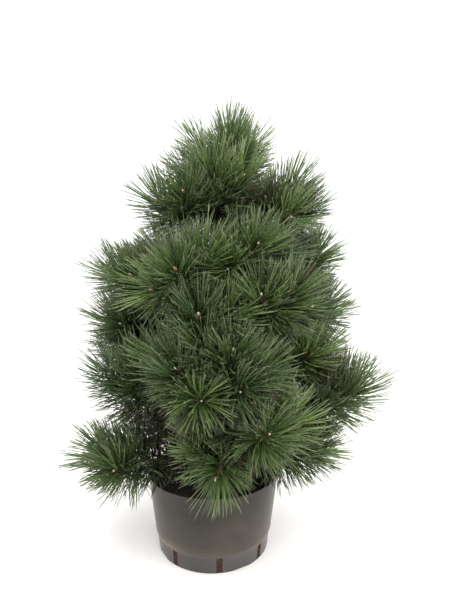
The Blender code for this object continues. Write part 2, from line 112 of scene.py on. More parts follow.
# finer twigs that the solids leave out, within the same reach
fineTwigs = {
    "perStem": 4, "perShoot": 1, "length": 0.062, "lengthPlay": 0.014, "spread": 58.0, "first": 0.012,
    "alongShoot": 0.32, "bare": 0.010, "fromTrunk": 0.045, "fromRim": 0.030, "forkStep": 0.006,
    "seed": 62,
}
# radius at the root and the tip of each kind of twig
twigRadii = {"main": (limbs["tipRadius"], 0.0027), "side": (0.0034, 0.0026), "fine": (0.0023, 0.0018)}
goldenAngle = 137.5  # turn from each twig or pair of needles to the next, in degrees


def headingVector(heading, rise=0.0):
    turn, lift = math.radians(heading - 90.0), math.radians(rise)
    return Vector((math.cos(turn) * math.cos(lift), math.sin(turn) * math.cos(lift), math.sin(lift)))


def trunkAxis(height):
    share = (height - trunk["foot"]) / (trunk["top"] - trunk["foot"])
    x = trunk["lean"] * share ** trunk["leanPower"] - trunk["sway"] * math.sin(math.pi * share)
    y = trunk["swayBack"] * trunk["sway"] * math.sin(2 * math.pi * share)
    return Vector((x, y, height))


def trunkRadius(height):
    if height < trunk["neckHeight"]:
        share = (height - trunk["foot"]) / (trunk["neckHeight"] - trunk["foot"])
        radius = trunk["footRadius"] + (trunk["neckRadius"] - trunk["footRadius"]) * share
    else:
        share = (height - trunk["neckHeight"]) / (trunk["top"] - trunk["neckHeight"])
        radius = trunk["neckRadius"] + (trunk["tipRadius"] - trunk["neckRadius"]) * share
    return radius + trunk["flare"] * math.exp((trunk["foot"] - height) / trunk["flareHeight"])


def lengthsAlong(points):
    run = [0.0]
    for a, b in zip(points, points[1:]):
        run.append(run[-1] + (b - a).length)
    return run


def stretch(points, start, end, count):
    run = lengthsAlong(points)
    found = []
    for i in range(count):
        distance = start + (end - start) * i / (count - 1)
        j = 1
        while j < len(run) - 1 and run[j] < distance:
            j += 1
        share = (distance - run[j - 1]) / (run[j] - run[j - 1])
        found.append(points[j - 1].lerp(points[j], min(max(share, 0.0), 1.0)))
    return found


def limbCurve(start, leave, arrive, end):
    reach = (end - start).length * limbs["bow"]
    p1, p2 = start + leave * reach, end - arrive * reach
    points = []
    for i in range(limbs["curveSteps"] + 1):
        t = i / limbs["curveSteps"]
        s = 1 - t
        points.append(start * s**3 + p1 * (3 * t * s * s) + p2 * (3 * t * t * s) + end * t**3)
    return points


def sideShoot(fork, ahead, turn, length, spreadAngle=None):
    left = Vector((0, 0, 1)).cross(ahead).normalized()
    above = ahead.cross(left)
    angle, spread = math.radians(turn), math.radians(spreadAngle or limbs["spread"])
    out = left * math.cos(angle) + above * math.sin(angle)
    leave = ahead * math.cos(spread) + out * math.sin(spread)
    arrive = (leave + Vector((0, 0, limbs["sideLift"]))).normalized()
    end = fork + (leave + arrive).normalized() * length
    return limbCurve(fork, leave, arrive, end)


def growMass(name, path, start, turns, draw):
    whole = lengthsAlong(path)[-1]
    forkAt = whole - limbs["shootLength"]
    fork, past = stretch(path, forkAt, forkAt + limbs["sideBare"], 2)
    shoots = [{"mass": name, "bare": limbs["stemBare"], "young": limbs["shootLength"], "kind": "main",
               "points": stretch(path, start, whole, limbs["shootPoints"])}]
    for turn in turns:
        length = limbs["sideLength"] * draw.uniform(1 - limbs["lengthPlay"], 1 + limbs["lengthPlay"])
        turn += draw.uniform(-1, 1) * limbs["turnPlay"]
        points = sideShoot(fork, (past - fork).normalized(), turn, length)
        shoots.append({"mass": name, "bare": limbs["sideBare"], "young": length, "kind": "side",
                       "points": points})
    return shoots


def tierRows(tier, draw):
    rows = list(tier["front"])
    count, first, last, reach, height, rise, turns = tier["back"]
    for i in range(count):
        share = i / max(count - 1, 1)
        rows.append((
            first + (last - first) * share + draw.uniform(-1, 1) * limbs["headingPlay"],
            reach + draw.uniform(-1, 1) * limbs["reachPlay"],
            height + draw.uniform(-1, 1) * limbs["heightPlay"],
            rise, 0, turns,
        ))
    return rows


def grow():
    draw = random.Random(limbs["seed"])
    boughs, shoots = [], []
    for number, tier in enumerate(tiers, 1):
        for i, (heading, reach, height, rise, turn, turns) in enumerate(tierRows(tier, draw)):
            letter = "abcdefgh"[i]
            root = trunkAxis(tier["height"] + limbs["stagger"] * (i % 3))
            bud = headingVector(heading) * reach + Vector((0, 0, height))
            away = bud - root
            leave = headingVector(math.degrees(math.atan2(away.x, -away.y)), tier["launch"])
            path = limbCurve(root, leave, headingVector(heading + turn, rise), bud)
            whole = lengthsAlong(path)[-1]
            split = whole - limbs["shootLength"]
            split -= min(limbs["stemLength"], limbs["stemShare"] * split)
            boughs.append({"name": f"tier{number}_bough_{letter}", "root": limbs[tier["root"]],
                           "points": stretch(path, 0, split, limbs["boughPoints"])})
            shoots += growMass(f"tier{number}_foliage_{letter}", path, split + limbs["gap"], turns, draw)
    top = trunkAxis(trunk["top"])
    bud = top + Vector(limbs["leaderBud"])
    path = limbCurve(top, Vector((0, 0, 1)), Vector(limbs["leaderEnd"]).normalized(), bud)
    shoots += growMass("leader_foliage", path, limbs["gap"], limbs["leaderTurns"], draw)
    return boughs, shoots


def growFineTwigs(shoots):
    draw = random.Random(fineTwigs["seed"])
    found = []
    for shoot in shoots:
        run = lengthsAlong(shoot["points"])[-1]
        stem = run - shoot["young"]
        count = fineTwigs["perStem"] if shoot["kind"] == "main" else fineTwigs["perShoot"]
        for k in range(count):
            turn = draw.uniform(0, 360) if k == 0 else turn + goldenAngle
            length = fineTwigs["length"] + draw.uniform(-1, 1) * fineTwigs["lengthPlay"]
            if count > 1:
                at = fineTwigs["first"] + (stem + fineTwigs["first"]) * k / (count - 1)
            else:
                at = run * fineTwigs["alongShoot"]
            fork, past = stretch(shoot["points"], at, at + fineTwigs["forkStep"], 2)
            points = sideShoot(fork, (past - fork).normalized(), turn, length, fineTwigs["spread"])
            away, room = math.hypot(points[-1].x, points[-1].y), fineTwigs["fromRim"]
            atRim = points[-1].z < rimHeight + room and away < rimRadius + room
            if away >= fineTwigs["fromTrunk"] and not atRim:
                found.append({"mass": shoot["mass"], "bare": fineTwigs["bare"], "young": length,
                              "kind": "fine", "points": points})
    return found


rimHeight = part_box("pot")[1].z
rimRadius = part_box("pot")[1].x
boughs, shoots = grow()
fine = growFineTwigs(shoots)
print("skeleton grown:", len(boughs), "boughs,", len(shoots), "shoots,", len(fine), "fine twigs")


# Small helpers for colours, nodes and pieces
def fromHex(code):  # sRGB hex to linear
    parts = [int(code[i:i + 2], 16) / 255 for i in (1, 3, 5)]
    return tuple([p / 12.92 if p <= 0.04045 else ((p + 0.055) / 1.055) ** 2.4 for p in parts] + [1.0])


def setInputs(tree, node, inputs):  # by name or in order; nodes and sockets are linked, the rest are values
    sockets = [socket for socket in node.inputs if socket.enabled]
    named = inputs if isinstance(inputs, dict) else dict(enumerate(inputs))
    for key, value in named.items():
        socket = sockets[key] if isinstance(key, int) else next(s for s in sockets if s.name == key)
        if isinstance(value, bpy.types.Node):
            value = next(s for s in value.outputs if s.enabled)
        if isinstance(value, bpy.types.NodeSocket):
            tree.links.new(value, socket)
        else:
            socket.default_value = value


def addNode(tree, kind, settings=None, inputs=()):  # settings may be just the name of the operation
    node = tree.nodes.new(kind)
    if isinstance(settings, str):
        settings = {"operation": settings}
    for key, value in (settings or {}).items():
        if key != "stops":
            setattr(node, key, value)
            continue
        elements = node.color_ramp.elements  # stops are the positions and hex colours of a ramp
        while len(elements) < len(value):
            elements.new(0.5)
        for element, (position, code) in zip(elements, value):
            element.position = position
            element.color = fromHex(code)
    setInputs(tree, node, inputs)
    return node


def newTree(name, sockets):  # a geometry tree with named inputs
    tree = bpy.data.node_groups.new(name, "GeometryNodeTree")
    for way in ("INPUT", "OUTPUT"):
        tree.interface.new_socket("Geometry", in_out=way, socket_type="NodeSocketGeometry")
    for label, kind in sockets.items():
        tree.interface.new_socket(label, in_out="INPUT", socket_type="NodeSocket" + kind)
    return tree, tree.nodes.new("NodeGroupInput").outputs, tree.nodes.new("NodeGroupOutput")


def grownPiece(name, mesh, tree, values):  # runs a tree on a mesh and keeps the result as a plain mesh
    piece = bpy.data.objects.new(name, mesh)
    scene.collection.objects.link(piece)
    modifier = piece.modifiers.new(name, "NODES")
    modifier.node_group = tree
    for item in tree.interface.items_tree:
        if item.in_out == "INPUT" and item.name in values:
            modifier[item.identifier] = values[item.name]
    piece.update_tag()
    made = bpy.data.meshes.new_from_object(piece.evaluated_get(bpy.context.evaluated_depsgraph_get()))
    piece.modifiers.remove(modifier)
    piece.data = made
    made.name = name
    return piece


def linesMesh(name, lines, attributes):  # polylines as edges, with one float attribute list each
    verts, edges = [], []
    for line in lines:
        first = len(verts)
        verts += [tuple(p) for p in line]
        edges += [(first + i, first + i + 1) for i in range(len(line) - 1)]
    mesh = bpy.data.meshes.new(name)
    mesh.from_pydata(verts, edges, [])
    for label, values in attributes.items():
        mesh.attributes.new(label, "FLOAT", "POINT").data.foreach_set("value", values)
    return mesh


def meshObject(name, verts, faces, smooth=True, collection=None):
    mesh = bpy.data.meshes.new(name)
    mesh.from_pydata([tuple(v) for v in verts], [], faces)
    if smooth:
        mesh.shade_smooth()
    made = bpy.data.objects.new(name, mesh)
    (collection or scene.collection).objects.link(made)
    return made


def newMaterial(name):
    material = bpy.data.materials.new(name)
    material.use_nodes = True
    tree = material.node_tree
    return material, tree, tree.nodes["Principled BSDF"]


# Pine needle: waxy leaf skin, so a soft satin gloss; paler at the sheath, a dull tip
def needleMaterial(name, base, pale, tip):
    material, tree, shader = newMaterial(name)
    along = addNode(tree, "ShaderNodeAttribute", {"attribute_name": "alongNeedle"}).outputs["Fac"]
    tint = addNode(tree, "ShaderNodeAttribute", {"attribute_name": "tint"}).outputs["Fac"]
    shade = addNode(tree, "ShaderNodeHueSaturation", None, {
        "Color": addNode(tree, "ShaderNodeValToRGB", {
            "stops": ((0.0, pale), (0.14, base), (0.50, base), (1.0, tip))}, (along,)),
        "Value": addNode(tree, "ShaderNodeMapRange", None, {"Value": tint, "To Min": 0.70, "To Max": 1.30}),
        "Hue": addNode(tree, "ShaderNodeMapRange", None, {"Value": tint, "To Min": 0.508, "To Max": 0.490}),
    })
    setInputs(tree, shader, {"Base Color": shade, "Roughness": 0.36, "IOR": 1.5})
    return material


# base, sheath and tip of each kind of needle
needleColours = {
    "needlesFresh": ("#5b7538", "#858b5c", "#728159"),
    "needlesGreen": ("#4b6431", "#757b50", "#64724d"),
    "needlesDeep": ("#3d542f", "#636a48", "#576446"),
    # old needles: a dark olive of their own, darkened further as painted shade under the sprays
    "needlesOld": ("#383925", "#4a4732", "#524a34"),
    # inner needles: last year's, near-black brown, their own dull brown darkened as painted shade of the
    # hollows deep in the crown
    "needlesInner": ("#2d281b", "#352c20", "#433524"),
    "needlesFaded": ("#685838", "#624f36", "#776140"),
}
needleSkins = {name: needleMaterial(name, *codes) for name, codes in needleColours.items()}

# Needles: pairs in a short sheath, set in a spiral and opening away from the bud
# widths: places along a needle with their share of its full width
# tested: shares of a needle's length that stay clear of the pot, the compost and the trunk
needles = {
    "widths": ((0.0, 0.62), (0.42, 1.0), (0.88, 0.86)),
    "length": 0.0965, "width": 0.0020, "thickness": 0.0013, "splay": 4.0, "bend": 0.019, "kinds": 8,
    "tipAngle": 22.0, "rootAngle": 82.0, "openLength": 0.095, "openPower": 0.55, "anglePlay": 6.0,
    "spiralPlay": 0.35, "twist": 0.7, "sizePlay": (0.88, 1.05), "lengthPlay": (0.93, 1.04),
    "splayPlay": (0.4, 1.5), "bendPlay": (0.2, 1.6), "swayPlay": (-0.5, 0.5), "lift": 0.24, "clump": 0.17,
    "clumpSize": 0.024, "clumpReach": 0.055, "trunkRoom": 0.016, "overRim": 0.002, "roundRim": 0.003,
    "tested": (1.0, 0.8, 0.55, 0.3), "seed": 5, "linesPerPiece": 16, "freshSpacing": 0.00078,
    "spacing": {"needlesOld": 0.00095, "needlesInner": 0.0014, "needlesFaded": 0.0036},
    "budGap": 0.008, "shootPoints": 14, "stemPoints": 8, "stemFrom": 0.004, "shortStem": 0.02,
    "fadedShare": 0.6, "innerFrom": 0.25, "boughAge": 0.16, "lowBoughAge": 0.10,
}
# how long the needles are on each kind of wood, as a share of the full length
vigours = {"shoot": (0.95, 1.03), "fine": 0.80, "old": 0.88, "inner": 0.92, "faded": 0.80,
           "bough": 0.80, "lowBough": 0.90}


def needlePair(index, draw, collection):
    verts, faces, along = [], [], []
    for side in (-1, 1):
        length = needles["length"] * draw.uniform(*needles["lengthPlay"])
        splay = math.radians(needles["splay"] * draw.uniform(*needles["splayPlay"])) * side
        bend = needles["bend"] * draw.uniform(*needles["bendPlay"])
        sway = needles["bend"] * draw.uniform(*needles["swayPlay"])
        first = len(verts)
        for t, full in needles["widths"]:
            centre = Vector((-bend * t * t, math.sin(splay) * t * length + sway * t * t,
                             math.cos(splay) * t * length))
            w, d = needles["width"] / 2 * full, needles["thickness"] * full
            verts += [centre + Vector((-w, -d / 2, 0)), centre + Vector((w, -d / 2, 0)),
                      centre + Vector((0, d / 2, 0))]
            along += [t] * 3
        verts.append(Vector((-bend, math.sin(splay) * length + sway, math.cos(splay) * length)))
        along.append(1.0)
        for r in range(2):
            for k in range(3):
                a, b = first + r * 3 + k, first + r * 3 + (k + 1) % 3
                faces.append((a, b, b + 3, a + 3))
        faces += [(first + 6, first + 7, first + 9), (first + 7, first + 8, first + 9),
                  (first + 8, first + 6, first + 9), (first + 2, first + 1, first)]
    made = meshObject(f"needlePair{index}", verts, faces, True, collection)
    made.data.attributes.new("alongNeedle", "FLOAT", "POINT").data.foreach_set("value", along)


def needleTree():
    tree, given, result = newTree("needlesOnShoots", {
        "Spacing": "Float", "Tip Angle": "Float", "Root Angle": "Float", "Angle Play": "Float",
        "Open Length": "Float", "Open Power": "Float", "Lift": "Float", "Clump": "Float",
        "Clump Size": "Float", "Needle Length": "Float", "Rim Height": "Float", "Rim Radius": "Float",
        "Seed": "Int", "Pairs": "Collection", "Material": "Material",
    })
    lines = addNode(tree, "GeometryNodeMeshToCurve", None, (given["Geometry"],))
    spots = addNode(tree, "GeometryNodeResampleCurve", {"mode": "LENGTH"}, {
        "Curve": lines, "Length": given["Spacing"]})
    chances = {}  # a random number for each use, all from the one seed
    for shift, (use, kind, low, high) in enumerate((
            ("tilt", "FLOAT", -1.0, 1.0), ("spiral", "FLOAT", -needles["spiralPlay"], needles["spiralPlay"]),
            ("twist", "FLOAT", -needles["twist"], needles["twist"]), ("size", "FLOAT", *needles["sizePlay"]),
            ("kind", "INT", 0, needles["kinds"] - 1), ("tint", "FLOAT", 0.0, 1.0)), 1):
        shifted = addNode(tree, "ShaderNodeMath", "ADD", (given["Seed"], float(shift)))
        chances[use] = addNode(tree, "FunctionNodeRandomValue", {"data_type": kind}, {
            "Min": low, "Max": high, "Seed": shifted})
    fromBud, vigour = [
        addNode(tree, "GeometryNodeInputNamedAttribute", {"data_type": "FLOAT"}, {"Name": label})
        for label in ("fromBud", "vigour")]
    opening = addNode(tree, "ShaderNodeMath", "POWER", (
        addNode(tree, "ShaderNodeMapRange", None, {"Value": fromBud, "From Max": given["Open Length"]}),
        given["Open Power"]))
    opened = addNode(tree, "ShaderNodeMapRange", None, {
        "Value": opening, "To Min": given["Tip Angle"], "To Max": given["Root Angle"]})
    tilt = addNode(tree, "ShaderNodeMath", "RADIANS", (
        addNode(tree, "ShaderNodeMath", "MULTIPLY_ADD", (chances["tilt"], given["Angle Play"], opened)),))
    spiral = addNode(tree, "ShaderNodeMath", "ADD", (
        addNode(tree, "ShaderNodeMath", "MULTIPLY", (
            addNode(tree, "GeometryNodeInputIndex"), math.radians(goldenAngle))), chances["spiral"]))
    spread = addNode(tree, "FunctionNodeAlignRotationToVector", {"axis": "Z"}, {
        "Vector": addNode(tree, "GeometryNodeInputTangent")})
    for axis, angle in (((0, 0, 1), spiral), ((0, 1, 0), tilt), ((0, 0, 1), chances["twist"])):
        by = addNode(tree, "FunctionNodeAxisAngleToRotation", None, {"Axis": axis, "Angle": angle})
        spread = addNode(tree, "FunctionNodeRotateRotation", {"rotation_space": "LOCAL"}, {
            "Rotation": spread, "Rotate By": by})
    size = addNode(tree, "ShaderNodeMath", "MULTIPLY", (vigour, chances["size"]))
    place = addNode(tree, "GeometryNodeInputPosition")
    # neighbours lean together into tufts, and all of them lift a little to the light
    aim = addNode(tree, "FunctionNodeRotateVector", None, {"Vector": (0, 0, 1), "Rotation": spread})
    halfWay = addNode(tree, "ShaderNodeVectorMath", "MULTIPLY_ADD", (
        aim, (needles["clumpReach"],) * 3, place))
    tufts = addNode(tree, "ShaderNodeTexNoise", {"normalize": False}, {
        "Vector": halfWay, "Scale": addNode(tree, "ShaderNodeMath", "DIVIDE", (1.0, given["Clump Size"])),
        "Detail": 1.0})
    leaning = addNode(tree, "ShaderNodeVectorMath", "SCALE", {
        "Vector": tufts.outputs["Color"], "Scale": given["Clump"]})
    up = addNode(tree, "ShaderNodeCombineXYZ", None, {"Z": given["Lift"]})
    pull = addNode(tree, "ShaderNodeVectorMath", "ADD", (leaning, up))
    lifted = addNode(tree, "ShaderNodeVectorMath", "ADD", (aim, pull))
    rotation = addNode(tree, "FunctionNodeAlignRotationToVector", {"axis": "Z"}, {
        "Rotation": spread, "Vector": lifted})
    reach = addNode(tree, "ShaderNodeCombineXYZ", None, {
        "Z": addNode(tree, "ShaderNodeMath", "MULTIPLY", (size, given["Needle Length"]))})
    arrow = addNode(tree, "FunctionNodeRotateVector", None, {"Vector": reach, "Rotation": rotation})
    hit = None
    for share in needles["tested"]:
        part = addNode(tree, "ShaderNodeVectorMath", "SCALE", {"Vector": arrow, "Scale": share})
        point = addNode(tree, "ShaderNodeVectorMath", "ADD", (place, part))
        x, y, z = addNode(tree, "ShaderNodeSeparateXYZ", None, (point,)).outputs
        squares = [addNode(tree, "ShaderNodeMath", "MULTIPLY", (axis, axis)) for axis in (x, y)]
        away = addNode(tree, "ShaderNodeMath", "SQRT", (addNode(tree, "ShaderNodeMath", "ADD", squares),))
        inPot = addNode(tree, "ShaderNodeMath", "MULTIPLY", (
            addNode(tree, "ShaderNodeMath", "LESS_THAN", (z, given["Rim Height"])),
            addNode(tree, "ShaderNodeMath", "LESS_THAN", (away, given["Rim Radius"]))))
        inTrunk = addNode(tree, "ShaderNodeMath", "LESS_THAN", (away, needles["trunkRoom"]))
        found = addNode(tree, "ShaderNodeMath", "MAXIMUM", (inPot, inTrunk))
        hit = found if hit is None else addNode(tree, "ShaderNodeMath", "MAXIMUM", (hit, found))
    stays = addNode(tree, "FunctionNodeCompare", {"data_type": "FLOAT", "operation": "LESS_THAN"}, {
        "A": hit, "B": 0.5})
    pairs = addNode(tree, "GeometryNodeCollectionInfo", None, {
        "Collection": given["Pairs"], "Separate Children": True, "Reset Children": True})
    placed = addNode(tree, "GeometryNodeInstanceOnPoints", None, {
        "Points": spots, "Selection": stays, "Instance": pairs, "Pick Instance": True,
        "Instance Index": chances["kind"], "Rotation": rotation, "Scale": size})
    tinted = addNode(tree, "GeometryNodeStoreNamedAttribute", {"data_type": "FLOAT", "domain": "INSTANCE"}, {
        "Geometry": placed, "Name": "tint", "Value": chances["tint"]})
    real = addNode(tree, "GeometryNodeRealizeInstances", None, (tinted,))
    setInputs(tree, result, (
        addNode(tree, "GeometryNodeSetMaterial", None, {"Geometry": real, "Material": given["Material"]}),))
    return tree


def dealShoots():  # each spray gets one plain colour; the older wood gets the deeper and browner ones, their darkness partly their own and partly painted shade inside the crown
    draw = random.Random(needles["seed"])
    dealt = {name: [] for name in needleColours}
    for shoot in shoots + fine:
        mass, points = shoot["mass"], shoot["points"]
        run = lengthsAlong(points)[-1]
        young = run - shoot["young"] if shoot["kind"] == "main" else shoot["bare"]
        if shoot["kind"] == "fine":
            skin = draw.choice(("needlesOld", "needlesDeep", "needlesDeep"))
        else:
            skin = draw.choice(("needlesFresh", "needlesGreen", "needlesGreen", "needlesDeep"))
        line = stretch(points, max(young, shoot["bare"]), run - needles["budGap"], needles["shootPoints"])
        vigour = vigours["fine"] if shoot["kind"] == "fine" else draw.uniform(*vigours["shoot"])
        dealt[skin].append((mass, line, needles["budGap"], vigour))
        if shoot["kind"] == "main" and young > needles["shortStem"]:
            # the stem behind the young shoot keeps old and inner needles, dark partly as painted shade
            line = stretch(points, needles["stemFrom"], young, needles["stemPoints"])
            dealt["needlesOld"].append((mass, line, run - young, vigours["old"]))
            dealt["needlesInner"].append((mass, line, run - young, vigours["inner"]))
            if draw.random() < needles["fadedShare"]:
                dealt["needlesFaded"].append((mass, line, run - young, vigours["faded"]))
    for bough in boughs:  # last year's needles thin out along the bough towards the trunk
        run = lengthsAlong(bough["points"])[-1]
        line = stretch(bough["points"], run * needles["innerFrom"], run, needles["stemPoints"])
        mass = bough["name"].replace("bough", "foliage")
        # inner needles along the bough, dark partly as painted shade inside the crown
        dealt["needlesInner"].append((mass, line, needles["boughAge"], vigours["bough"]))
        if bough["name"].startswith("tier1"):  # the lowest boughs stand free and keep more of them
            dealt["needlesOld"].append((mass, line, needles["lowBoughAge"], vigours["lowBough"]))
    return dealt


def makeNeedles():
    draw = random.Random(needles["seed"] + 1)
    kinds = bpy.data.collections.new("needleKinds")
    scene.collection.children.link(kinds)
    for index in range(needles["kinds"]):
        needlePair(index, draw, kinds)
    tree = needleTree()
    pieces = []
    for skin, rows in dealShoots().items():
        perPiece = needles["linesPerPiece"] * (2 if skin in ("needlesOld", "needlesInner") else 1)
        for part in range(0, len(rows), perPiece):
            chosen = rows[part:part + perPiece]
            fromBud, vigour = [], []
            for _, line, first, share in chosen:
                whole = lengthsAlong(line)
                fromBud += [first + whole[-1] - r for r in whole]
                vigour += [share] * len(line)
            mesh = linesMesh("shootLines", [row[1] for row in chosen], {"fromBud": fromBud, "vigour": vigour})
            piece = grownPiece(f"{skin}_{part // perPiece}", mesh, tree, {
                "Spacing": needles["spacing"].get(skin, needles["freshSpacing"]),
                "Tip Angle": needles["tipAngle"], "Root Angle": needles["rootAngle"],
                "Angle Play": needles["anglePlay"], "Open Length": needles["openLength"],
                "Open Power": needles["openPower"], "Lift": needles["lift"], "Clump": needles["clump"],
                "Clump Size": needles["clumpSize"], "Needle Length": needles["length"],
                "Rim Height": rimHeight + needles["overRim"], "Rim Radius": rimRadius + needles["roundRim"],
                "Seed": needles["seed"] + part, "Pairs": kinds, "Material": needleSkins[skin],
            })
            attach(piece, "root")
            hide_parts(*sorted({row[0] for row in chosen}))
            pieces.append(piece)
    for kind in list(kinds.objects):
        bpy.data.objects.remove(kind)
    bpy.data.collections.remove(kinds)
    total = sum(len(face.vertices) - 2 for piece in pieces for face in piece.data.polygons)
    print("needles made:", len(pieces), "pieces,", total, "triangles")


makeNeedles()


# Pine bark: grey brown, rough with old leaf scars; this year's shoots are smoother and redder
def barkMaterial(name, dark, mid, light, scale):
    material, tree, shader = newMaterial(name)
    place = addNode(tree, "ShaderNodeTexCoord").outputs["Object"]
    coarse = addNode(tree, "ShaderNodeTexNoise", None, {
        "Vector": place, "Scale": scale, "Detail": 6.0, "Roughness": 0.65})
    grain = addNode(tree, "ShaderNodeTexNoise", None, {"Vector": place, "Scale": scale * 5, "Detail": 4.0})
    both = addNode(tree, "ShaderNodeMath", "MULTIPLY_ADD", (
        grain, 0.35, addNode(tree, "ShaderNodeMath", "MULTIPLY", (coarse, 0.65))))
    colour = addNode(tree, "ShaderNodeValToRGB", {
        "stops": ((0.36, dark), (0.50, mid), (0.64, light))}, (both,))
    bump = addNode(tree, "ShaderNodeBump", None, {"Height": both, "Strength": 0.6, "Distance": 0.0015})
    setInputs(tree, shader, {"Base Color": colour, "Roughness": 0.85, "Normal": bump})
    return material


# scales are per metre: 1000 / size in mm
barkOld = barkMaterial("pineBark", "#251b17", "#4e4037", "#74665c", 1000 / 9)
barkYoung = barkMaterial("shootBark", "#2b1b15", "#5d4030", "#81644e", 1000 / 6)

# Skin of each kind of limb: spacing and sides of its rings, height and size of its relief
barkSkins = {
    "trunkBark": {"Step": 0.0026, "Sides": 56, "Relief": 0.0022, "Grain": 1000 / 7.5, "Material": barkOld},
    "boughBark": {"Step": 0.003, "Sides": 20, "Relief": 0.0014, "Grain": 1000 / 5, "Material": barkOld},
    "shootTwigs": {"Step": 0.004, "Sides": 8, "Relief": 0.0007, "Grain": 1000 / 3, "Material": barkYoung},
}


def limbTree():
    tree, given, result = newTree("limbSkin", {
        "Step": "Float", "Sides": "Int", "Relief": "Float", "Grain": "Float", "Material": "Material"})
    lines = addNode(tree, "GeometryNodeMeshToCurve", None, (given["Geometry"],))
    radius = addNode(tree, "GeometryNodeInputNamedAttribute", {"data_type": "FLOAT"}, {"Name": "limbRadius"})
    sized = addNode(tree, "GeometryNodeSetCurveRadius", None, {"Curve": lines, "Radius": radius})
    even = addNode(tree, "GeometryNodeResampleCurve", {"mode": "LENGTH"}, {
        "Curve": sized, "Length": given["Step"]})
    ring = addNode(tree, "GeometryNodeCurvePrimitiveCircle", None, {
        "Resolution": given["Sides"], "Radius": 1.0})
    skin = addNode(tree, "GeometryNodeCurveToMesh", None, {
        "Curve": even, "Profile Curve": ring, "Scale": addNode(tree, "GeometryNodeInputRadius"),
        "Fill Caps": True})
    place = addNode(tree, "GeometryNodeInputPosition")
    noise = addNode(tree, "ShaderNodeTexNoise", None, {
        "Vector": place, "Scale": given["Grain"], "Detail": 4.0, "Roughness": 0.6})
    plates = addNode(tree, "ShaderNodeTexVoronoi", {"feature": "DISTANCE_TO_EDGE"}, {
        "Vector": place, "Scale": given["Grain"]})
    edge = addNode(tree, "ShaderNodeMapRange", None, {
        "Value": plates.outputs["Distance"], "From Max": 0.28, "To Min": -0.6, "To Max": 0.15})
    height = addNode(tree, "ShaderNodeMath", "ADD", (edge, noise))
    lift = addNode(tree, "ShaderNodeMath", "MULTIPLY", (
        addNode(tree, "ShaderNodeMath", "SUBTRACT", (height, 0.5)), given["Relief"]))
    out = addNode(tree, "ShaderNodeVectorMath", "SCALE", {
        "Vector": addNode(tree, "GeometryNodeInputNormal"), "Scale": lift})
    rough = addNode(tree, "GeometryNodeSetPosition", None, {"Geometry": skin, "Offset": out})
    real = addNode(tree, "GeometryNodeRealizeInstances", None, (rough,))
    smooth = addNode(tree, "GeometryNodeSetShadeSmooth", None, {"Geometry": real, "Shade Smooth": True})
    setInputs(tree, result, (
        addNode(tree, "GeometryNodeSetMaterial", None, {"Geometry": smooth, "Material": given["Material"]}),))
    return tree


def makeLimbs():
    shares = np.linspace(0, 1, trunk["rings"]) ** trunk["ringPower"]  # closer together in the flare
    heights = trunk["foot"] + (trunk["top"] - trunk["foot"]) * shares
    rows = {
        "trunkBark": ([[trunkAxis(h) for h in heights]], [trunkRadius(h) for h in heights], ["trunk"]),
        "boughBark": ([], [], [bough["name"] for bough in boughs]),
        "shootTwigs": ([], [], sorted({shoot["mass"] for shoot in shoots})),
    }
    for bough in boughs:
        rows["boughBark"][0].append(bough["points"])
        rows["boughBark"][1].extend(np.linspace(bough["root"], limbs["tipRadius"], len(bough["points"])))
    for shoot in shoots + fine:
        rows["shootTwigs"][0].append(shoot["points"])
        rows["shootTwigs"][1].extend(np.linspace(*twigRadii[shoot["kind"]], len(shoot["points"])))
    tree = limbTree()
    for name, (lines, radii, nodes) in rows.items():
        mesh = linesMesh("limbLines", lines, {"limbRadius": radii})
        piece = grownPiece(name, mesh, tree, barkSkins[name])
        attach(piece, "root")
        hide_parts(*nodes)
        print(name, "made:", len(piece.data.polygons), "faces")


makeLimbs()

# Winter buds: papery cream scales over brown, one at the end of each shoot
buds = {
    "length": 0.0115, "radius": 0.0027, "rings": 9, "sides": 8, "smallest": 0.75, "largest": 1.15,
    "from": 0.016, "to": 0.006, "shoulder": 0.18, "taper": 0.80, "plump": 0.7, "scaleEdge": 0.16,
    "leastWidth": 0.06, "seed": 9,
}


def budMaterial():
    material, tree, shader = newMaterial("budScales")
    place = addNode(tree, "ShaderNodeAttribute", {"attribute_name": "alongBud"}).outputs["Fac"]
    grain = addNode(tree, "ShaderNodeTexNoise", None, {
        "Vector": addNode(tree, "ShaderNodeTexCoord").outputs["Object"], "Scale": 1000 / 1.5})
    mixed = addNode(tree, "ShaderNodeMath", "MULTIPLY_ADD", (grain, 0.3, place))
    colour = addNode(tree, "ShaderNodeValToRGB", {
        "stops": ((0.10, "#6b4634"), (0.40, "#9d7557"), (0.70, "#c3ab91"), (1.0, "#d6c9b6"))}, (mixed,))
    setInputs(tree, shader, {"Base Color": colour, "Roughness": 0.55})
    return material


def budShape(collection):
    verts, faces, along = [], [], []
    rings, sides = buds["rings"], buds["sides"]
    for r in range(rings):
        t = r / (rings - 1)
        swell = math.sin(math.pi * min(buds["shoulder"] + buds["taper"] * t, 1.0)) ** buds["plump"]
        swell *= 1 + buds["scaleEdge"] * (r % 2)
        for k in range(sides):
            angle = 2 * math.pi * (k + 0.5 * (r % 2)) / sides
            radius = buds["radius"] * max(swell, buds["leastWidth"])
            verts.append((radius * math.cos(angle), radius * math.sin(angle), t * buds["length"]))
            along.append(t)
    for r in range(rings - 1):
        for k in range(sides):
            a, b = r * sides + k, r * sides + (k + 1) % sides
            faces.append((a, b, b + sides, a + sides))
    faces.append(tuple(reversed(range(sides))))
    faces.append(tuple(range(len(verts) - sides, len(verts))))
    made = meshObject("budShape", verts, faces, True, collection)
    made.data.attributes.new("alongBud", "FLOAT", "POINT").data.foreach_set("value", along)
    return made


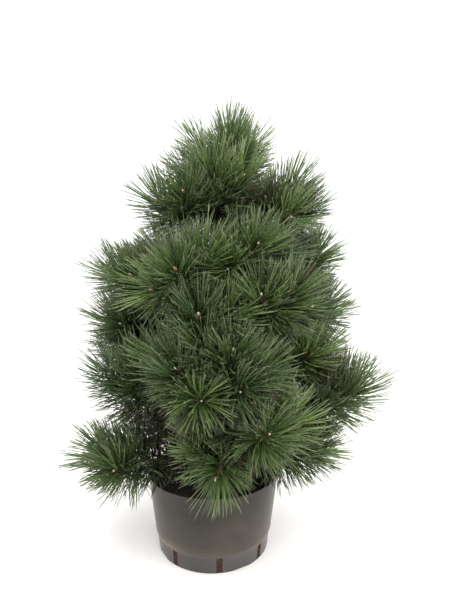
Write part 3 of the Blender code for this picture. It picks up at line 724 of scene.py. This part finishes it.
def budTree():
    tree, given, result = newTree("budsOnShoots", {
        "Smallest": "Float", "Largest": "Float", "Seed": "Int", "Bud": "Object", "Material": "Material"})
    lines = addNode(tree, "GeometryNodeMeshToCurve", None, (given["Geometry"],))
    ends = addNode(tree, "GeometryNodeCurveEndpointSelection", None, {"Start Size": 0, "End Size": 1})
    along = addNode(tree, "FunctionNodeAlignRotationToVector", {"axis": "Z"}, {
        "Vector": addNode(tree, "GeometryNodeInputTangent")})
    size = addNode(tree, "FunctionNodeRandomValue", {"data_type": "FLOAT"}, {
        "Min": given["Smallest"], "Max": given["Largest"], "Seed": given["Seed"]})
    bud = addNode(tree, "GeometryNodeObjectInfo", None, {"Object": given["Bud"]})
    placed = addNode(tree, "GeometryNodeInstanceOnPoints", None, {
        "Points": lines, "Selection": ends, "Instance": bud.outputs["Geometry"],
        "Rotation": along, "Scale": size})
    real = addNode(tree, "GeometryNodeRealizeInstances", None, (placed,))
    setInputs(tree, result, (
        addNode(tree, "GeometryNodeSetMaterial", None, {"Geometry": real, "Material": given["Material"]}),))
    return tree


def makeBuds():
    shape = budShape(scene.collection)
    lines = []
    for shoot in shoots + fine:
        run = lengthsAlong(shoot["points"])[-1]
        lines.append(stretch(shoot["points"], run - buds["from"], run - buds["to"], 3))
    piece = grownPiece("shootBuds", linesMesh("budLines", lines, {}), budTree(), {
        "Smallest": buds["smallest"], "Largest": buds["largest"], "Seed": buds["seed"], "Bud": shape,
        "Material": budMaterial()})
    bpy.data.objects.remove(shape)
    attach(piece, "root")
    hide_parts(*sorted({shoot["mass"] for shoot in shoots}))
    print("buds made:", len(lines))


makeBuds()

# Nursery pot: dark polypropylene, injection moulded, satin and scuffed, with a narrower foot
# cutWalls are the depths of the slots and the arches, in wall thicknesses
pot = {
    "height": 0.185, "footRadius": 0.134, "bandRadius": 0.138, "rimRadius": 0.159, "wall": 0.0025,
    "floor": 0.003, "bandHeight": 0.043, "step": 0.003, "footRound": 0.003, "facets": 168, "sharpAngle": 32,
    "slots": 8, "slotWidth": 0.0135, "slotHeight": 0.034, "slotSill": 0.0035, "slotHeading": 7.4,
    "arches": 4, "archWidth": 0.036, "archHeight": 0.0055, "archHeading": 30.0,
    "edgeHeight": 0.041, "edgeRadius": 0.1392, "roundHeight": 0.058, "paleHeight": 0.14,
    # the first height on the next line is the band of painted sheen over the moulded edge
    "sheenBandHeight": 0.030, "cutWalls": (7, 3), "footPoints": 6, "lipPoints": 9, "wallRings": 14,
    "innerRings": 6, "aboveRound": 0.006, "underLip": 0.002, "edgeMargin": 0.0005,
}


def potRadius(height):
    share = (height - pot["bandHeight"]) / (pot["height"] - pot["bandHeight"])
    low = pot["bandRadius"] + pot["step"]
    return low + (pot["rimRadius"] - low) * share


def turnedShape(name, profile, facets):
    verts, faces, rings = [], [], []
    for radius, height in profile:
        if radius == 0:
            rings.append([len(verts)] * facets)
            verts.append((0, 0, height))
            continue
        rings.append(list(range(len(verts), len(verts) + facets)))
        for k in range(facets):
            angle = 2 * math.pi * k / facets
            verts.append((radius * math.cos(angle), radius * math.sin(angle), height))
    for low, high in zip(rings, rings[1:]):
        for k in range(facets):
            corners = [low[k], low[(k + 1) % facets], high[(k + 1) % facets], high[k]]
            faces.append(tuple(dict.fromkeys(corners)))
    return meshObject(name, verts, faces)


def blockShape(name, size, place, heading, collection):
    corners = ((-1, -1, -1), (1, -1, -1), (1, 1, -1), (-1, 1, -1),
               (-1, -1, 1), (1, -1, 1), (1, 1, 1), (-1, 1, 1))
    turn = Matrix.Translation(place) @ Matrix.Rotation(math.radians(heading), 4, "Z")
    verts = [turn @ Vector((x * size[0] / 2, y * size[1] / 2, z * size[2] / 2)) for x, y, z in corners]
    faces = [(3, 2, 1, 0), (4, 5, 6, 7), (0, 1, 5, 4), (1, 2, 6, 5), (2, 3, 7, 6), (3, 0, 4, 7)]
    return meshObject(name, verts, faces, False, collection)


def potMaterial():
    material, tree, shader = newMaterial("mouldedPolypropylene")
    place = addNode(tree, "ShaderNodeTexCoord").outputs["Object"]
    across, _, height = addNode(tree, "ShaderNodeSeparateXYZ", None, (place,)).outputs
    dust = addNode(tree, "ShaderNodeTexNoise", None, {
        "Vector": place, "Scale": 1000 / 120, "Detail": 5.0, "Roughness": 0.6})
    wall = addNode(tree, "ShaderNodeValToRGB", {
        "stops": ((0.35, "#2a2824"), (0.55, "#33302a"), (0.75, "#423c34"))}, (dust,))
    foot = addNode(tree, "ShaderNodeValToRGB", {
        "stops": ((0.35, "#454443"), (0.55, "#4e4b49"), (0.75, "#58534e"))}, (dust,))
    # the lower wall is paler than the top
    low = addNode(tree, "ShaderNodeMapRange", None, {
        "Value": height, "From Min": pot["edgeHeight"], "From Max": pot["paleHeight"],
        "To Min": 0.26, "To Max": 0.0})
    wall = addNode(tree, "ShaderNodeMix", {"data_type": "RGBA"}, {
        "Factor": low, "A": wall, "B": fromHex("#605b53")})
    inFoot = addNode(tree, "ShaderNodeMath", "LESS_THAN", (height, pot["edgeHeight"] - pot["edgeMargin"]))
    colour = addNode(tree, "ShaderNodeMix", {"data_type": "RGBA"}, {"Factor": inFoot, "A": wall, "B": foot})
    # painted sheen: a pale warm band just above the moulded edge, the floor's reflection painted onto the
    # rounded wall, most of all on the left side
    sheenBand = addNode(tree, "ShaderNodeMapRange", {"interpolation_type": "SMOOTHSTEP"}, {
        "Value": height, "From Min": pot["edgeHeight"], "From Max": pot["edgeHeight"] + pot["sheenBandHeight"],
        "To Min": 0.75, "To Max": 0.0})
    patchy = addNode(tree, "ShaderNodeMapRange", None, {
        "Value": dust, "From Min": 0.35, "From Max": 0.65, "To Min": 0.15, "To Max": 1.0})
    # painted reflection: the band is strongest on the left side, where the floor's light falls on it
    sheenSide = addNode(tree, "ShaderNodeMapRange", {"interpolation_type": "SMOOTHSTEP"}, {
        "Value": across, "From Min": -0.10, "From Max": 0.06, "To Min": 1.0, "To Max": 0.15})
    # painted sheen mask, kept off the foot: the band times its side times its patches
    paintedSheen = addNode(tree, "ShaderNodeMath", "SUBTRACT", (1.0, inFoot))
    for share in (sheenSide, sheenBand, patchy):
        paintedSheen = addNode(tree, "ShaderNodeMath", "MULTIPLY", (paintedSheen, share))
    # the pale warm colour mixed in here is the painted sheen, a reflection of the floor
    sheenPaintedColour = addNode(tree, "ShaderNodeMix", {"data_type": "RGBA"}, {
        "Factor": paintedSheen, "A": colour, "B": fromHex("#75675a")})
    stretched = addNode(tree, "ShaderNodeMapping", None, {"Vector": place, "Scale": (1.0, 1.0, 6.0)})
    scuffs = addNode(tree, "ShaderNodeTexNoise", None, {
        "Vector": stretched, "Scale": 1000 / 14, "Detail": 6.0, "Roughness": 0.7})
    scuffed = addNode(tree, "ShaderNodeMapRange", None, {
        "Value": scuffs, "From Min": 0.56, "From Max": 0.75, "To Max": 0.22})
    grain = addNode(tree, "ShaderNodeTexNoise", None, {"Vector": place, "Scale": 1000 / 2, "Detail": 2.0})
    setInputs(tree, shader, {
        "Base Color": addNode(tree, "ShaderNodeMix", {"data_type": "RGBA"}, {
            "Factor": scuffed, "A": sheenPaintedColour, "B": fromHex("#6b655d")}),
        "Roughness": addNode(tree, "ShaderNodeMapRange", None, {
            "Value": dust, "To Min": 0.30, "To Max": 0.48}),
        "Normal": addNode(tree, "ShaderNodeBump", None, {
            "Height": grain, "Strength": 0.12, "Distance": 0.0004}),
        "Specular IOR Level": 0.2,
        "Sheen Weight": 0.22,  # fine dust, pale where the wall turns away
        "Sheen Roughness": 0.35,
        "Sheen Tint": fromHex("#ffeee0"),
    })
    return material


def arc(cx, cz, radius, first, last, count):
    angles = [math.radians(first + (last - first) * i / (count - 1)) for i in range(count)]
    return [(cx + radius * math.cos(a), cz + radius * math.sin(a)) for a in angles]


def potProfile():  # from the middle of the underside out, up, over the rim and back down inside
    foot, band, wall, turn = pot["footRadius"], pot["bandRadius"], pot["wall"], pot["footRound"]
    lip, bandTop, top = wall / 2, pot["bandHeight"] - pot["step"], pot["height"] - wall / 2
    profile = [(0, 0)] + arc(foot - turn, turn, turn, -90, -5, pot["footPoints"])
    profile += [(foot + (band - foot) * t, turn + (bandTop - turn) * t) for t in (0.25, 0.5, 0.75, 0.97)]
    full = potRadius(pot["roundHeight"])
    for t in (0.0, 0.12, 0.26, 0.42, 0.60, 0.80, 1.0):  # crisp moulded edge, then a round up to the wall
        height = pot["edgeHeight"] + (pot["roundHeight"] - pot["edgeHeight"]) * t
        profile.append((full - (full - pot["edgeRadius"]) * (1 - t) ** 2, height))
    outer = np.linspace(pot["roundHeight"] + pot["aboveRound"], top, pot["wallRings"])
    inner = np.linspace(top - pot["underLip"], pot["bandHeight"], pot["innerRings"])
    profile += [(potRadius(h), h) for h in outer]
    profile += arc(pot["rimRadius"] - lip, top, lip, 0, 180, pot["lipPoints"])[1:]
    profile += [(potRadius(h) - wall, h) for h in inner]
    return profile + [(band - wall, bandTop), (foot - wall, pot["floor"]), (0, pot["floor"])]


def makePot():
    piece = turnedShape("potShell", potProfile(), pot["facets"])
    cutters = bpy.data.collections.new("potCutters")
    scene.collection.children.link(cutters)
    for i in range(pot["slots"]):
        heading = pot["slotHeading"] + 360 * i / pot["slots"]
        middle = Vector((0, 0, pot["slotSill"] + pot["slotHeight"] / 2))
        size = (pot["slotWidth"], pot["wall"] * pot["cutWalls"][0], pot["slotHeight"])
        blockShape(f"slot{i}", size, headingVector(heading) * pot["bandRadius"] + middle, heading, cutters)
    for i in range(pot["arches"]):
        heading = pot["archHeading"] + 360 * i / pot["arches"]
        size = (pot["archWidth"], pot["wall"] * pot["cutWalls"][1], 2 * pot["archHeight"])
        blockShape(f"arch{i}", size, headingVector(heading) * pot["footRadius"], heading, cutters)
    cut = piece.modifiers.new("cuts", "BOOLEAN")
    cut.operand_type = "COLLECTION"
    cut.collection = cutters
    cut.operation = "DIFFERENCE"
    cut.solver = "EXACT"
    made = bpy.data.meshes.new_from_object(piece.evaluated_get(bpy.context.evaluated_depsgraph_get()))
    piece.modifiers.remove(cut)
    piece.data = made
    for cutter in list(cutters.objects):
        bpy.data.objects.remove(cutter)
    bpy.data.collections.remove(cutters)
    made.shade_smooth()
    made.set_sharp_from_angle(angle=math.radians(pot["sharpAngle"]))
    made.materials.clear()
    made.materials.append(potMaterial())
    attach(piece, "root")
    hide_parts("pot")
    print("pot made:", len(made.polygons), "faces")


makePot()

# Compost: dark peat with bark crumbs on top, and reddish clay where it shows in the slots
soil = {
    "top": 0.171, "fall": 0.005, "fallPower": 1.3, "levelRadius": 0.036, "rings": 56, "facets": 190,
    "relief": 0.0035, "crumbs": 5200, "smallest": 0.35, "largest": 1.0, "crumb": 0.0042,
    "clayHeight": 0.06, "sunk": 0.62, "topArea": 0.07, "floorRings": 8, "footRings": 20, "wallRings": 10,
    "firstRing": 0.03, "cornerPlay": (0.3, 1.0), "seed": 31,
}


def soilMaterial(name, *codes):
    material, tree, shader = newMaterial(name)
    place = addNode(tree, "ShaderNodeTexCoord").outputs["Object"]
    clods = addNode(tree, "ShaderNodeTexNoise", None, {
        "Vector": place, "Scale": 1000 / 7, "Detail": 8.0, "Roughness": 0.7})
    colour, clay = [
        addNode(tree, "ShaderNodeValToRGB", {"stops": tuple(zip((0.38, 0.52, 0.68), shades))}, (clods,))
        for shades in (codes, ("#20140f", "#43291d", "#644536"))]
    height = addNode(tree, "ShaderNodeSeparateXYZ", None, (place,)).outputs["Z"]
    inSlots = addNode(tree, "ShaderNodeMath", "LESS_THAN", (height, soil["clayHeight"]))
    setInputs(tree, shader, {
        "Base Color": addNode(tree, "ShaderNodeMix", {"data_type": "RGBA"}, {
            "Factor": inSlots, "A": colour, "B": clay}),
        "Roughness": 0.92,
        "Normal": addNode(tree, "ShaderNodeBump", None, {
            "Height": clods, "Strength": 0.8, "Distance": 0.002}),
    })
    return material


def soilTree():
    tree, given, result = newTree("looseCompost", {
        "Crumbs": "Int", "Smallest": "Float", "Largest": "Float", "Relief": "Float", "Seed": "Int",
        "Crumb": "Object", "Material": "Material", "Crumb Material": "Material"})
    noise = addNode(tree, "ShaderNodeTexNoise", None, {
        "Vector": addNode(tree, "GeometryNodeInputPosition"), "Scale": 1000 / 11, "Detail": 5.0,
        "Roughness": 0.65})
    lift = addNode(tree, "ShaderNodeMath", "MULTIPLY", (
        addNode(tree, "ShaderNodeMath", "SUBTRACT", (noise, soil["sunk"])), given["Relief"]))
    normal = addNode(tree, "GeometryNodeInputNormal")
    out = addNode(tree, "ShaderNodeVectorMath", "SCALE", {"Vector": normal, "Scale": lift})
    rough = addNode(tree, "GeometryNodeSetPosition", None, {"Geometry": given["Geometry"], "Offset": out})
    ground = addNode(tree, "GeometryNodeSetMaterial", None, {
        "Geometry": rough, "Material": given["Material"]})
    upward = addNode(tree, "ShaderNodeSeparateXYZ", None, (normal,))
    top = addNode(tree, "FunctionNodeCompare", {"data_type": "FLOAT", "operation": "GREATER_THAN"}, {
        "A": upward.outputs["Z"], "B": 0.6})
    density = addNode(tree, "ShaderNodeMath", "DIVIDE", (given["Crumbs"], soil["topArea"]))
    spots = addNode(tree, "GeometryNodeDistributePointsOnFaces", None, {
        "Mesh": rough, "Selection": top, "Density": density, "Seed": given["Seed"]})
    spin = addNode(tree, "FunctionNodeRandomValue", {"data_type": "FLOAT_VECTOR"}, {
        "Min": (0, 0, 0), "Max": (6.28, 6.28, 6.28), "Seed": given["Seed"]})
    size = addNode(tree, "FunctionNodeRandomValue", {"data_type": "FLOAT"}, {
        "Min": given["Smallest"], "Max": given["Largest"], "Seed": given["Seed"]})
    crumb = addNode(tree, "GeometryNodeObjectInfo", None, {"Object": given["Crumb"]})
    placed = addNode(tree, "GeometryNodeInstanceOnPoints", None, {
        "Points": spots.outputs["Points"], "Instance": crumb.outputs["Geometry"],
        "Rotation": spin, "Scale": size})
    coatedCrumbs = addNode(tree, "GeometryNodeSetMaterial", None, {
        "Geometry": placed, "Material": given["Crumb Material"]})
    joined = addNode(tree, "GeometryNodeJoinGeometry")
    for layer in (ground, coatedCrumbs):
        setInputs(tree, joined, (layer,))
    setInputs(tree, result, (addNode(tree, "GeometryNodeRealizeInstances", None, (joined,)),))
    return tree


def soilProfile():  # just inside the pot's shell, and over the top to the middle
    gap, floor = pot["wall"] + limbs["gap"], pot["floor"] + limbs["gap"]
    foot, band = pot["footRadius"] - gap, pot["bandRadius"] - gap
    wallTop = soil["top"] - soil["fall"]
    outer = potRadius(wallTop) - gap
    profile = [(0, floor)] + [(r, floor) for r in np.linspace(soil["firstRing"], foot, soil["floorRings"])]
    profile += [(foot + (band - foot) * t, floor + (pot["bandHeight"] - pot["step"] - floor) * t)
                for t in np.linspace(0.05, 1, soil["footRings"])]
    sides = np.linspace(pot["bandHeight"], wallTop, soil["wallRings"])
    profile += [(potRadius(h) - gap, h) for h in sides]
    for t in np.linspace(0, 1, soil["rings"])[1:]:
        radius = outer * (1 - t)
        away = max(radius - soil["levelRadius"], 0) / (outer - soil["levelRadius"])
        fall = soil["fall"] * away ** soil["fallPower"]
        profile.append((max(radius, 0), soil["top"] - limbs["gap"] - fall))
    return profile


def makeSoil():
    base = turnedShape("compostBody", soilProfile(), soil["facets"])
    draw = random.Random(soil["seed"])
    verts = [Vector(axis) * soil["crumb"] / 2 * draw.uniform(*soil["cornerPlay"]) for axis in (
        (1, 0, 0), (-1, 0, 0), (0, 1, 0), (0, -1, 0), (0, 0, 1), (0, 0, -1))]
    faces = [(0, 2, 4), (2, 1, 4), (1, 3, 4), (3, 0, 4), (2, 0, 5), (1, 2, 5), (3, 1, 5), (0, 3, 5)]
    crumb = meshObject("crumbShape", verts, faces, False)
    mesh = base.data
    bpy.data.objects.remove(base)
    piece = grownPiece("compost", mesh, soilTree(), {
        "Crumbs": soil["crumbs"], "Smallest": soil["smallest"], "Largest": soil["largest"],
        "Relief": soil["relief"], "Seed": soil["seed"], "Crumb": crumb,
        "Material": soilMaterial("peatCompost", "#0e0807", "#1e120c", "#34231a"),
        "Crumb Material": soilMaterial("barkCrumbs", "#180d09", "#321e15", "#523a2b")})
    bpy.data.objects.remove(crumb)
    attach(piece, "root")
    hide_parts("soil")
    print("compost made:", len(piece.data.polygons), "faces")


makeSoil()

# Pale floor, soft studio light and the camera
studio = {
    "floor": "#fbf8f6", "floorSize": 14.0, "sky": "#ffffff", "skyStrength": 1.35, "frontShare": 0.62,
    "topShare": 1.15, "keyPower": 93.0, "keySize": 2.2, "keyPlace": (0.0, -1.9, 3.1),
    "fillPower": 40.0, "fillSize": 2.0, "fillPlace": (2.6, -0.9, 1.3), "lightTarget": (0, 0, 0.5),
    "cameraPlace": (0.0385, -1.11, 0.685), "cameraTilt": 4.37, "lens": 27.71, "sensor": 36.0,
}


def areaLight(name, power, size, place):
    light = bpy.data.lights.new(name, "AREA")
    light.energy, light.size = power, size
    made = bpy.data.objects.new(name, light)
    made.location = place
    towards = Vector(studio["lightTarget"]) - Vector(place)
    made.rotation_euler = towards.to_track_quat("-Z", "Y").to_euler()
    scene.collection.objects.link(made)


def makeStudio():
    half = studio["floorSize"] / 2
    corners = [(-half, -half, 0), (half, -half, 0), (half, half, 0), (-half, half, 0)]
    ground = meshObject("paleFloor", corners, [(0, 1, 2, 3)], False)
    material, tree, shader = newMaterial("paleFloor")
    setInputs(tree, shader, {"Base Color": fromHex(studio["floor"]), "Roughness": 0.8})
    ground.data.materials.append(material)
    world = bpy.data.worlds.new("studioSky")
    scene.world = world
    world.use_nodes = True
    sky = world.node_tree
    # white walls behind and beside the plant, a dimmer room in front of it
    towards = addNode(sky, "ShaderNodeSeparateXYZ", None, (
        addNode(sky, "ShaderNodeTexCoord").outputs["Generated"],))
    front = addNode(sky, "ShaderNodeMapRange", {"interpolation_type": "SMOOTHSTEP"}, {
        "Value": towards.outputs["Y"], "From Min": -1.0, "From Max": 0.0,
        "To Min": studio["frontShare"] * studio["skyStrength"], "To Max": studio["skyStrength"]})
    above = addNode(sky, "ShaderNodeMapRange", None, {
        "Value": towards.outputs["Z"], "From Min": 0.2, "To Min": 1.0, "To Max": studio["topShare"]})
    setInputs(sky, sky.nodes["Background"], {
        "Color": fromHex(studio["sky"]),
        "Strength": addNode(sky, "ShaderNodeMath", "MULTIPLY", (front, above))})
    areaLight("keyLight", studio["keyPower"], studio["keySize"], studio["keyPlace"])
    areaLight("fillLight", studio["fillPower"], studio["fillSize"], studio["fillPlace"])
    camera = bpy.data.objects.new("camera", bpy.data.cameras.new("camera"))
    camera.data.lens = studio["lens"]
    camera.data.sensor_width = studio["sensor"]
    camera.location = studio["cameraPlace"]
    camera.rotation_euler = (math.radians(90 - studio["cameraTilt"]), 0, 0)
    scene.collection.objects.link(camera)
    scene.camera = camera
    scene.view_settings.view_transform = "Standard"
    print("studio made")


makeStudio()

bpy.context.view_layer.update()
